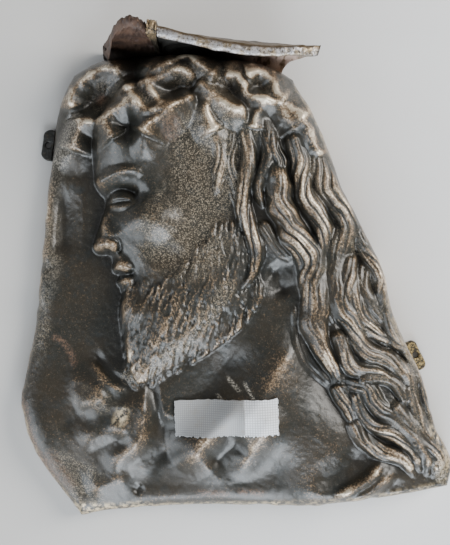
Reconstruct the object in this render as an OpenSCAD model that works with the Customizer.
// Hollow-backed cast metal relief: a bearded head in profile under a crown of woven thorn branches,
// with long waved hair and a draped collar. A flange stands up along the top edge, its left end
// curls forward, and a bead of braze joins the two. Two small lugs are brazed to the side edges,
// and two strips of cloth tape are stuck over the collar.
// The relief lies on its back rim: +Z is out of the relief and +Y is towards the top of the head.

/* [Casting] */
// Width of the casting between its side edges
relief_w = 212; // [170:1:260]
// Height of the casting between its bottom and top edges
relief_h = 225; // [180:1:280]
// Height of the highest modelling above the back rim
relief_depth = 47; // [38:1:60]
// Thickness of the metal
wall = 4; // [3:0.5:6]
// Height of the outer edge of the casting
edge_h = 5; // [4.5:0.5:8]
// Width of the flat rim on the back
rim_w = 5; // [4:0.5:8]
// Width of the band in which the front rounds down to the edge
edge_run = 13; // [8:1:20]

/* [Head] */
// Height of the head, from chin to crown
head_h = 118; // [100:1:130]
// How far the head nods forward, in degrees
head_nod = 10; // [0:1:20]

/* [Top flange] */
// Height of the flange above the back rim
flange_h = 52; // [40:1:65]
// Thickness of the flange
flange_t = 4; // [3:0.5:6]
// Extra thickness of the rolled lip at the top of the flange
lip_t = 2.5; // [1:0.5:4]
// How much thicker the braze bead is than the flange
bead_t = 1.5; // [0.5:0.5:3]
// How far the braze bead stands above the lip
bead_rise = 2.5; // [0:0.5:5]

/* [Edge lugs] */
// How far each lug stands out from the edge
lug_reach = 6.5; // [6:0.5:12]
// Length of each lug along the edge
lug_l = 16; // [12:1:24]
// Thickness of each lug
lug_t = 3; // [2:0.5:4]
// Radius of the fixing hole in each lug
lug_hole_r = 1.6; // [1:0.1:2]

/* [Tape label] */
// Width of the tape, which is the label's length
tape_l = 49; // [40:1:60]
// Height of the label
tape_h = 17; // [12:1:25]
// Length of the white strip, at the label's right end
white_l = 24; // [15:1:35]
// How far the grey strip runs on under the white one
tape_lap = 9; // [4:1:12]
// Thickness of each strip
tape_t = 0.3; // [0.2:0.05:0.5]

/* [Hidden] */

joint_gap = 0.25;   // clearance between pieces that are brazed or stuck together
lug_gap = 0.5;      // clearance between a lug's straight inner side and the curved edge
lug_corner_r = 3;   // radius of a lug's outer corners
lug_hole_edge = 1.5; // metal between a lug's hole and its outer side
flange_bulge = 2.5; // how far the flange bows outward half way up
flange_lean = 3;    // power with which the flange leans in: it stands upright, then sweeps in at the lip
foot_z = 1;         // height of the flange's foot above the back rim
layer_step = 1.2;   // height from one layer of tape to the next, in tape thicknesses
back_cols = 30;     // cells across the back surface; the front has twice as many each way
back_rows = 36;     // cells up the back surface
bronze = [0.24, 0.22, 0.19];
copper = [0.42, 0.27, 0.2];

// ---- Curves ----

// Point at share t between points i and i + 1 of a smooth curve through p
function catmull(p, i, t) =
    let (n = len(p) - 1, a = p[max(i - 1, 0)], b = p[i], c = p[i + 1], d = p[min(i + 2, n)])
    0.5 * (2 * b + (c - a) * t + (2 * a - 5 * b + 4 * c - d) * t * t + (3 * b - a - 3 * c + d) * t * t * t);

// Point at share s, from 0 to 1, of a smooth curve through p
function along(p, s) =
    let (n = len(p) - 1, f = min(max(s, 0), 1) * n, i = min(floor(f), n - 1))
    catmull(p, i, f - i);

// The curve as a chain of n chords
function chain(p, n) = [for (i = [0 : n]) along(p, i / n)];

function clamp01(x) = min(max(x, 0), 1);

// ---- Outline: four sides that meet at the corners, drawn at the nominal size ----

top_side = [[-82, 96], [-67, 100], [-51, 100.5], [-35, 100.5], [-19, 100], [-3, 98.5], [13, 95], [28, 88]];
left_side = [[-82, 96], [-88, 76], [-91, 56], [-93, 36], [-95, 14], [-97, -8],
             [-99, -30], [-103, -50], [-106, -72], [-97, -97], [-76, -125]];
bottom_side = [[-76, -125], [-54, -122], [-32, -120.5], [-9, -120], [14, -120],
               [37, -120], [60, -117], [82, -114], [104, -110]];
right_side = [[28, 88], [38, 69], [46, 51], [53, 32], [62, 15], [71, -4],
              [76, -24], [83, -41], [92, -60], [97, -80], [106, -97], [104, -110]];

// Point of the plane at shares u, across, and v, down, blended from the four sides
function plan(u, v) =
    (1 - v) * along(top_side, u) + v * along(bottom_side, u)
    + (1 - u) * along(left_side, v) + u * along(right_side, v)
    - (1 - u) * (1 - v) * top_side[0] - u * (1 - v) * right_side[0]
    - (1 - u) * v * bottom_side[0] - u * v * right_side[len(right_side) - 1];

// ---- Modelling of the front: every height is at the nominal depth ----

// Ground heights of the relief: x, y, height
ground = [
    [-80, 85, 12], [-92, 55, 10], [-80, 48, 13], [-94, 15, 11], [-82, 10, 13], [-97, -25, 12],
    [-80, -30, 14], [-98, -60, 13], [-86, -78, 17], [-62, -82, 22], [-82, -106, 13], [-55, -112, 14],
    [-62, 60, 16], [-60, 88, 16], [-40, -72, 22], [-15, -60, 22], [4, -45, 27], [-12, -88, 26],
    [20, -72, 28], [-25, -112, 15], [10, -112, 17], [42, -95, 24], [60, -106, 17], [45, -70, 26],
    [25, -20, 29], [30, 20, 32], [20, 50, 33], [45, -10, 29], [52, -42, 27], [70, -72, 25],
    [86, -95, 20], [99, -105, 14], [44, 45, 22], [60, 5, 23], [76, -40, 21], [88, -76, 18],
    [-20, 60, 32], [0, 76, 31], [-42, 62, 24], [-20, 92, 26], [14, 86, 22],
    [-25, 0, 24], [-30, 30, 24], [-35, -30, 22], [-10, 35, 30], [-6, -15, 27],
    [-54, 20, 14], [-56, -20, 14]];
ground_blur = 13;
ground_front = 10;

// Woven branches of the crown: the middle line, then the swing of the two branches about it
crown_line = [[-84, 70], [-68, 75], [-51, 74], [-34, 78], [-17, 80], [0, 79], [15, 75], [28, 64], [38, 52]];
crown_swing = 8.5;
crown_waves = 3.2;
crown_r = 8;
crown_rise = 8;

// Locks of hair: half width, height above the ground, middle line
locks = [
    [8, 5, [[-20, 68], [-14, 52], [-6, 38], [-2, 22], [4, 4], [5, -12], [0, -26]]],
    [8, 7, [[8, 68], [14, 48], [8, 34], [13, 22], [28, 8], [36, -6], [37, -24], [35, -34]]],
    [8, 6, [[24, 60], [30, 42], [34, 28], [44, 14], [40, 2], [42, -14]]],
    [8, 6, [[35, 54], [44, 36], [54, 18], [57, 4], [52, -8], [52, -22], [60, -36], [70, -42], [82, -46]]],
    [7, 5, [[48, 40], [60, 16], [67, -2], [70, -16], [76, -34], [85, -48], [89, -64]]],
    [8, 6, [[38, -36], [47, -48], [60, -57], [74, -56], [84, -64]]],
    [9, 6, [[56, -64], [67, -76], [81, -86], [90, -97], [91, -106]]],
    [7, 5, [[72, -62], [84, -74], [95, -88], [99, -98], [98, -106]]],
    [7, 5, [[54, -78], [68, -92], [78, -99], [84, -104]]]];

// Folds of the collar and cords of the neck, in the same form
folds = [
    [8, 6, [[-46, -66], [-43, -78], [-44, -92], [-56, -102]]],
    [17, 6, [[14, -42], [2, -58], [-12, -80], [-20, -98]]],
    [15, 6, [[-92, -92], [-74, -80], [-60, -70]]],
    [9, 5, [[36, -114], [56, -107], [72, -98]]],
    [13, 5, [[-78, -114], [-64, -102], [-54, -96]]]];

// Profile of the face and beard in head heights: up from the chin, forward of the chin
profile = [
    [-0.3, -0.06], [-0.26, 0.0], [-0.2, 0.03], [-0.08, 0.02], [0.02, 0.02], [0.1, 0.0],
    [0.15, 0.015], [0.2, -0.005], [0.25, 0.02], [0.29, 0.02], [0.32, 0.085], [0.36, 0.08],
    [0.45, 0.045], [0.52, 0.01], [0.56, 0.01], [0.6, 0.035],
    [0.7, 0.03], [0.8, 0.0], [0.9, -0.08], [1.0, -0.32]];
beard_tip = [0.02, -0.29];
beard_back = [-0.5, -0.08];

// Soft forms of the head, in head heights from the chin:
// forward, up, half length, half height, turn, rise in mm
head_forms = [
    [-0.07, 0.5, 0.12, 0.07, 0, -5],       // eye socket
    [-0.055, 0.5, 0.055, 0.04, 0, 4.5],    // eye
    [-0.05, 0.585, 0.13, 0.04, -8, 4],     // brow
    [0.05, 0.43, 0.045, 0.14, -16, 3],     // bridge of the nose
    [0.02, 0.33, 0.055, 0.045, 0, 4.5],    // wing of the nose
    [-0.17, 0.4, 0.15, 0.1, 15, 4],        // cheekbone
    [-0.18, 0.26, 0.1, 0.07, 20, -3],      // cheek
    [-0.04, 0.25, 0.12, 0.04, 25, 4],      // moustache
    [-0.01, 0.165, 0.06, 0.03, 0, 3.5],    // lower lip
    [-0.04, -0.04, 0.09, 0.1, 0, 4],       // beard on the chin
    [-0.03, -0.17, 0.09, 0.09, 20, 4],     // point of the beard
    [-0.17, -0.03, 0.09, 0.09, 0, 4],      // beard along the jaw
    [-0.28, 0.05, 0.09, 0.09, 0, 4],
    [-0.38, 0.17, 0.09, 0.09, 0, 4]];
chin = [-52, -30];
head_front = 13;     // height at which the profile rises from the ground
head_side = 19;      // rise from there to the side of the face
head_round = 26;     // width of the band in which it rises
head_turn = [[-cos(head_nod), -sin(head_nod)], [-sin(head_nod), cos(head_nod)]];

// Place of p in the head, forward and up from the chin in head heights
function in_head(p) = [(p - chin) * head_turn[0], (p - chin) * head_turn[1]] / head_h;

// How far q, a place in the head, is above the line of the beard's underside
function above_beard(q) =
    let (d = beard_back - beard_tip) ((q[1] - beard_tip[1]) * -d[0] + (q[0] - beard_tip[0]) * d[1]) / norm(d);

// Height of the head at q, a place in the head
function head_z(q) =
    let (d = min(lookup(q[1], profile) - q[0], above_beard(q)) * head_h, rest = 1 - clamp01(d / head_round))
    d > 0 ? head_front + head_side * (1 - rest ^ 3) : 0;

// Height that one form of the head adds at q, a place in the head
function form_z(q, k) =
    let (f = q[0] - k[0], w = q[1] - k[1],
         s = (f * cos(k[4]) + w * sin(k[4])) / k[2], t = (w * cos(k[4]) - f * sin(k[4])) / k[3],
         d = s * s + t * t)
    d < 1 ? k[5] * (1 - d) ^ 2 : 0;

function sum(v) = v * [for (x = v) 1];

// Smooth ground height at p
function ground_z(p) =
    let (w = [for (g = ground) exp(-((p[0] - g[0]) ^ 2 + (p[1] - g[1]) ^ 2) / (2 * ground_blur ^ 2))])
    w * [for (g = ground) g[2]] / (sum(w) + 1e-9);

// Distance from p to the chord from a to b
function chord_d(p, a, b) =
    let (ab = b - a, t = clamp01((p - a) * ab / (ab * ab)))
    norm(p - a - t * ab);

// Soft ridge of half width w and height h along a chain
function ridge_z(p, w, h, c) =
    let (d = min([for (i = [1 : len(c) - 1]) chord_d(p, c[i - 1], c[i])]))
    d < w ? h * (1 - (d / w) ^ 2) ^ 2 : 0;

// A ridge as half width, height and chain, with the box that it can reach
function ridge(w, h, c) =
    [w, h, c, min([for (q = c) q[0]]) - w, max([for (q = c) q[0]]) + w,
              min([for (q = c) q[1]]) - w, max([for (q = c) q[1]]) + w];
function ridge_over(p, r) =
    p[0] < r[3] || p[0] > r[4] || p[1] < r[5] || p[1] > r[6] ? 0 : ridge_z(p, r[0], r[1], r[2]);

// One branch of the crown, swinging about the middle line with the given phase
function branch(phase) =
    [for (i = [0 : 36]) let (s = i / 36, a = along(crown_line, s - 0.01), b = along(crown_line, s + 0.01),
                             side = [a[1] - b[1], b[0] - a[0]] / norm(b - a))
        along(crown_line, s) + side * crown_swing * sin(360 * crown_waves * s + phase)];

function all_ridges() = concat(
    [for (k = locks) ridge(k[0], k[1], chain(k[2], 3 * (len(k[2]) - 1)))],
    [for (k = folds) ridge(k[0], k[1], chain(k[2], 3 * (len(k[2]) - 1)))],
    [for (phase = [0, 180]) ridge(crown_r, crown_rise, branch(phase))]);

// Height of the whole front at p, before the edge is rounded
function model_z(p, ridges) =
    let (q = in_head(p), head = head_z(q))
    max(ground_z(p), head)
    + (head > 0 ? sum([for (k = head_forms) form_z(q, k)]) : 0)
    + max([for (r = ridges) ridge_over(p, r)]);
model_top = 47;

// Share of the full height at a distance d from the edge
function rounding(d) = let (q = clamp01(d / edge_run)) sqrt(1 - (1 - q) ^ 2);

// Distance from the edge at shares u and v
function edge_d(u, v) =
    let (across = norm(along(right_side, v) - along(left_side, v)),
         down = norm(along(top_side, u) - along(bottom_side, u)))
    min(min(u, 1 - u) * across, min(v, 1 - v) * down);

function deep(z) = z * relief_depth / model_top;
function sized(p, z) = [p[0] * stretch_x - centre[0], p[1] * stretch_y - centre[1], z];
function front_point(at, ridges) =
    let (p = plan(at[0], at[1]), full = deep(min(model_z(p, ridges), model_top)))
    sized(p, edge_h + (full - edge_h) * rounding(edge_d(at[0], at[1])));
function back_point(at, on_rim) =
    let (p = plan(at[0], at[1]), full = deep(ground_z(p)),
         z = edge_h + (full - edge_h) * rounding(edge_d(at[0], at[1]) - wall) - wall)
    sized(p, on_rim ? 0 : max(z, 0));

// Share of step i out of n, where the first and last steps take the share of the rim
function share(i, n, rim) =
    i <= 1 ? i * rim : i >= n - 1 ? 1 - (n - i) * rim : rim + (1 - 2 * rim) * (i - 1) / (n - 2);

// Shares u and v of the back grid's point i, j, or of a front one between them; the rim is even all round
function at_grid(i, j) =
    let (s = i / back_cols, t = j / back_rows,
         across = norm(along(right_side, t) - along(left_side, t)),
         down = norm(along(top_side, s) - along(bottom_side, s)))
    [share(i, back_cols, rim_w / across), share(j, back_rows, rim_w / down)];

// Two triangles for each cell of a grid of n columns and m rows of cells, from index o
function grid_faces(n, m, o, flip) = [for (j = [0 : m - 1], i = [0 : n - 1])
    let (a = o + j * (n + 1) + i, b = a + 1, c = a + n + 1, d = c + 1)
    each flip ? [[a, c, d], [a, d, b]] : [[a, d, c], [a, b, d]]];

// Three triangles that join two front cells to one back cell along an edge
function seam(f, b, flip) = [for (k = [0 : len(b) - 2])
    let (f0 = f[2 * k], f1 = f[2 * k + 1], f2 = f[2 * k + 2])
    each flip ? [[f0, b[k], f1], [f1, b[k + 1], f2], [f1, b[k], b[k + 1]]]
              : [[f0, f1, b[k]], [f1, f2, b[k + 1]], [f1, b[k + 1], b[k]]]];

// Closed plate from the points of its two faces, each a grid of n by m cells
module plate(points, n, m) {
    o = (n + 1) * (m + 1);
    ring = concat([for (i = [0 : n]) i], [for (j = [1 : m]) j * (n + 1) + n],
                  [for (i = [1 : n]) m * (n + 1) + n - i], [for (j = [1 : m - 1]) (m - j) * (n + 1)]);
    sides = [for (k = [0 : len(ring) - 1])
        let (a = ring[k], b = ring[(k + 1) % len(ring)])
        each [[a, b + o, b], [a, a + o, b + o]]];
    polyhedron(points, concat(grid_faces(n, m, 0, false), grid_faces(n, m, o, true), sides));
}

module relief_casting() {
    ridges = all_ridges();
    n = back_cols;
    m = back_rows;
    front = [for (j = [0 : 2 * m], i = [0 : 2 * n]) front_point(at_grid(i / 2, j / 2), ridges)];
    back = [for (j = [0 : m], i = [0 : n]) back_point(at_grid(i, j), min(i, n - i, j, m - j) < 2)];
    o = len(front);
    row_f = 2 * n + 1;
    row_b = n + 1;
    top = seam([for (i = [0 : 2 * n]) i], [for (i = [0 : n]) o + i], true);
    bottom = seam([for (i = [0 : 2 * n]) 2 * m * row_f + i], [for (i = [0 : n]) o + m * row_b + i], false);
    left = seam([for (j = [0 : 2 * m]) j * row_f], [for (j = [0 : m]) o + j * row_b], false);
    right = seam([for (j = [0 : 2 * m]) j * row_f + 2 * n], [for (j = [0 : m]) o + j * row_b + n], true);
    color(bronze)
        polyhedron(concat(front, back),
                   concat(grid_faces(2 * n, 2 * m, 0, false), grid_faces(n, m, o, true),
                          top, bottom, left, right));
}

// ---- Top flange: a wall between a foot and a lip, from the left end to the right ----

flange_foot = [[-37, 100.8], [-22, 100.4], [-8, 99.4], [6, 97], [22, 92]];
flange_lip = [[-36, 100.5], [-20, 96.5], [-3, 93], [14, 91.8], [27, 92.4], [36.5, 93]];
flange_heights = [1, 1, 1, 0.98, 0.95, 0.9];
curl_foot = [[-66, 100.6], [-57, 101], [-48, 101], [-39.6, 100.9]];
curl_lip = [[-62, 97], [-57, 103], [-50, 105], [-44, 103.5], [-41, 101.4]];
curl_heights = [0.3, 0.75, 0.97, 1, 1];
bead_foot = [[-39.3, 100.9], [-37.3, 100.8]];
bead_lip = [[-40.7, 101.3], [-36.3, 100.6]];

// Outward direction of a flat curve p at share s
function outward(p, s) =
    let (d = along(p, s + 0.01) - along(p, s - 0.01)) [-d[1], d[0]] / norm(d);
function on_plan(p) = [p[0] * stretch_x, p[1] * stretch_y];

// Point of a flange at share s along it and t up it, pushed outward by push
function flange_point(foot, lip, heights, s, t, push, middle) =
    let (a = on_plan(along(foot, s)), b = on_plan(along(lip, s)), h = along(heights, s) * flange_h,
         bulge = flange_bulge * sin(180 * t),
         q = a + (b - a) * t ^ flange_lean + outward(foot, s) * (joint_gap + bulge + push) - middle)
    [q[0], q[1], foot_z + (h - foot_z) * t];

// Both faces of a wall with n cells along and m up; the outer one is thicker by more at the lip
function flange_points(foot, lip, heights, n, m, more, middle) = concat(
    [for (j = [0 : m], i = [0 : n]) flange_point(foot, lip, heights, i / n, j / m, -more, middle)],
    [for (j = [0 : m], i = [0 : n])
        let (thick = flange_t + lip_t * max(0, 3 * j / m - 2))
        flange_point(foot, lip, heights, i / n, j / m, thick + more, middle)]);

module flange_wall(foot, lip, heights, n, m, more = 0) {
    plate(flange_points(foot, lip, heights, n, m, more, centre), n, m);
}

module top_flange() {
    color(bronze) flange_wall(flange_foot, flange_lip, flange_heights, 24, 9);
}

module flange_curl() {
    color(copper) flange_wall(curl_foot, curl_lip, curl_heights, 12, 9);
}

// Bead of braze in the joint between the curl and the flange, thicker than both and standing above them
module braze_bead() {
    tall = 1 + bead_rise / flange_h;
    color("goldenrod") intersection() {
        flange_wall(bead_foot, bead_lip, [tall, tall], 3, 9, bead_t);
        translate([-relief_w / 2, on_plan(bead_foot[1])[1] - centre[1] + joint_gap, 0])
            cube([relief_w, relief_h, 2 * flange_h]);
    }
}

// ---- Edge lugs ----

// A lug on a side curve at share s: a plate with a hole, its inner edge along the side
module lug(side, s, way) {
    p = sized(along(side, s), 0);
    d = along(side, s + 0.02) - along(side, s - 0.02);
    turn = atan2(d[1] * stretch_y, d[0] * stretch_x);
    color("darkgoldenrod")
        translate(p) rotate(turn)
            linear_extrude(lug_t)
                difference() {
                    hull() {
                        for (e = [-1, 1])
                            translate([e * (lug_l / 2 - lug_corner_r), way * (lug_reach - lug_corner_r)])
                                circle(r = lug_corner_r, $fn = 32);
                        translate([-lug_l / 2, way > 0 ? lug_gap : -lug_gap - 1]) square([lug_l, 1]);
                    }
                    translate([0, way * (lug_reach - lug_hole_r - lug_hole_edge)])
                        circle(r = lug_hole_r, $fn = 48);
                }
}
left_lug_at = 0.19;
right_lug_at = 0.67;

module left_lug() { lug(left_side, left_lug_at, -1); }
module right_lug() { lug(right_side, right_lug_at, 1); }

// ---- Tape label: strips cut from a skin that follows the front ----

tape_at = [-5, -74];
tape_turn = 2;
skin_from = [0.25, 0.66];    // shares of the grid, across and down, at which the skin starts
skin_span = [0.5, 0.26];     // and how far it runs

// A skin between lo and hi above the front, over the cells near the label
module skin(lo, hi) {
    ridges = all_ridges();
    i0 = floor(back_cols * skin_from[0]);
    j0 = floor(back_rows * skin_from[1]);
    n = floor(back_cols * skin_span[0]) * 2;
    m = floor(back_rows * skin_span[1]) * 2;
    flat = [for (j = [0 : m], i = [0 : n]) front_point(at_grid(i0 + i / 2, j0 + j / 2), ridges)];
    plate([for (z = [hi, lo], p = flat) p + [0, 0, z]], n, m);
}

// A strip of tape from x0 to x1 along the label
module strip(x0, x1, layer) {
    at = sized(tape_at, 0);
    intersection() {
        skin(joint_gap + layer * tape_t * layer_step, joint_gap + layer * tape_t * layer_step + tape_t);
        translate(at) rotate(tape_turn)
            translate([x0, -tape_h / 2, 0]) cube([x1 - x0, tape_h, relief_depth]);
    }
}

module tape_grey() { color("silver") strip(-tape_l / 2, tape_l / 2 - white_l + tape_lap, 0); }
module tape_white() { color("white") strip(tape_l / 2 - white_l, tape_l / 2, 1); }

// ---- Centre of the whole object's plan, so that the origin is under its middle ----

outline_x = [for (v = [0 : 0.02 : 1], side = [left_side, right_side]) along(side, v)[0]];
outline_y = [for (u = [0 : 0.02 : 1], side = [top_side, bottom_side]) along(side, u)[1]];
stretch_x = relief_w / (max(outline_x) - min(outline_x));
stretch_y = relief_h / (max(outline_y) - min(outline_y));
flange_y = [for (p = concat(flange_points(flange_foot, flange_lip, flange_heights, 24, 9, 0, [0, 0]),
                            flange_points(curl_foot, curl_lip, curl_heights, 12, 9, 0, [0, 0]),
                            flange_points(bead_foot, bead_lip, [1, 1], 3, 9, bead_t, [0, 0]))) p[1]];
centre = [(max(outline_x) + min(outline_x)) * stretch_x / 2,
          (max(flange_y) + min(outline_y) * stretch_y) / 2];

relief_casting();
top_flange();
flange_curl();
braze_bead();
left_lug();
right_lug();
tape_grey();
tape_white();
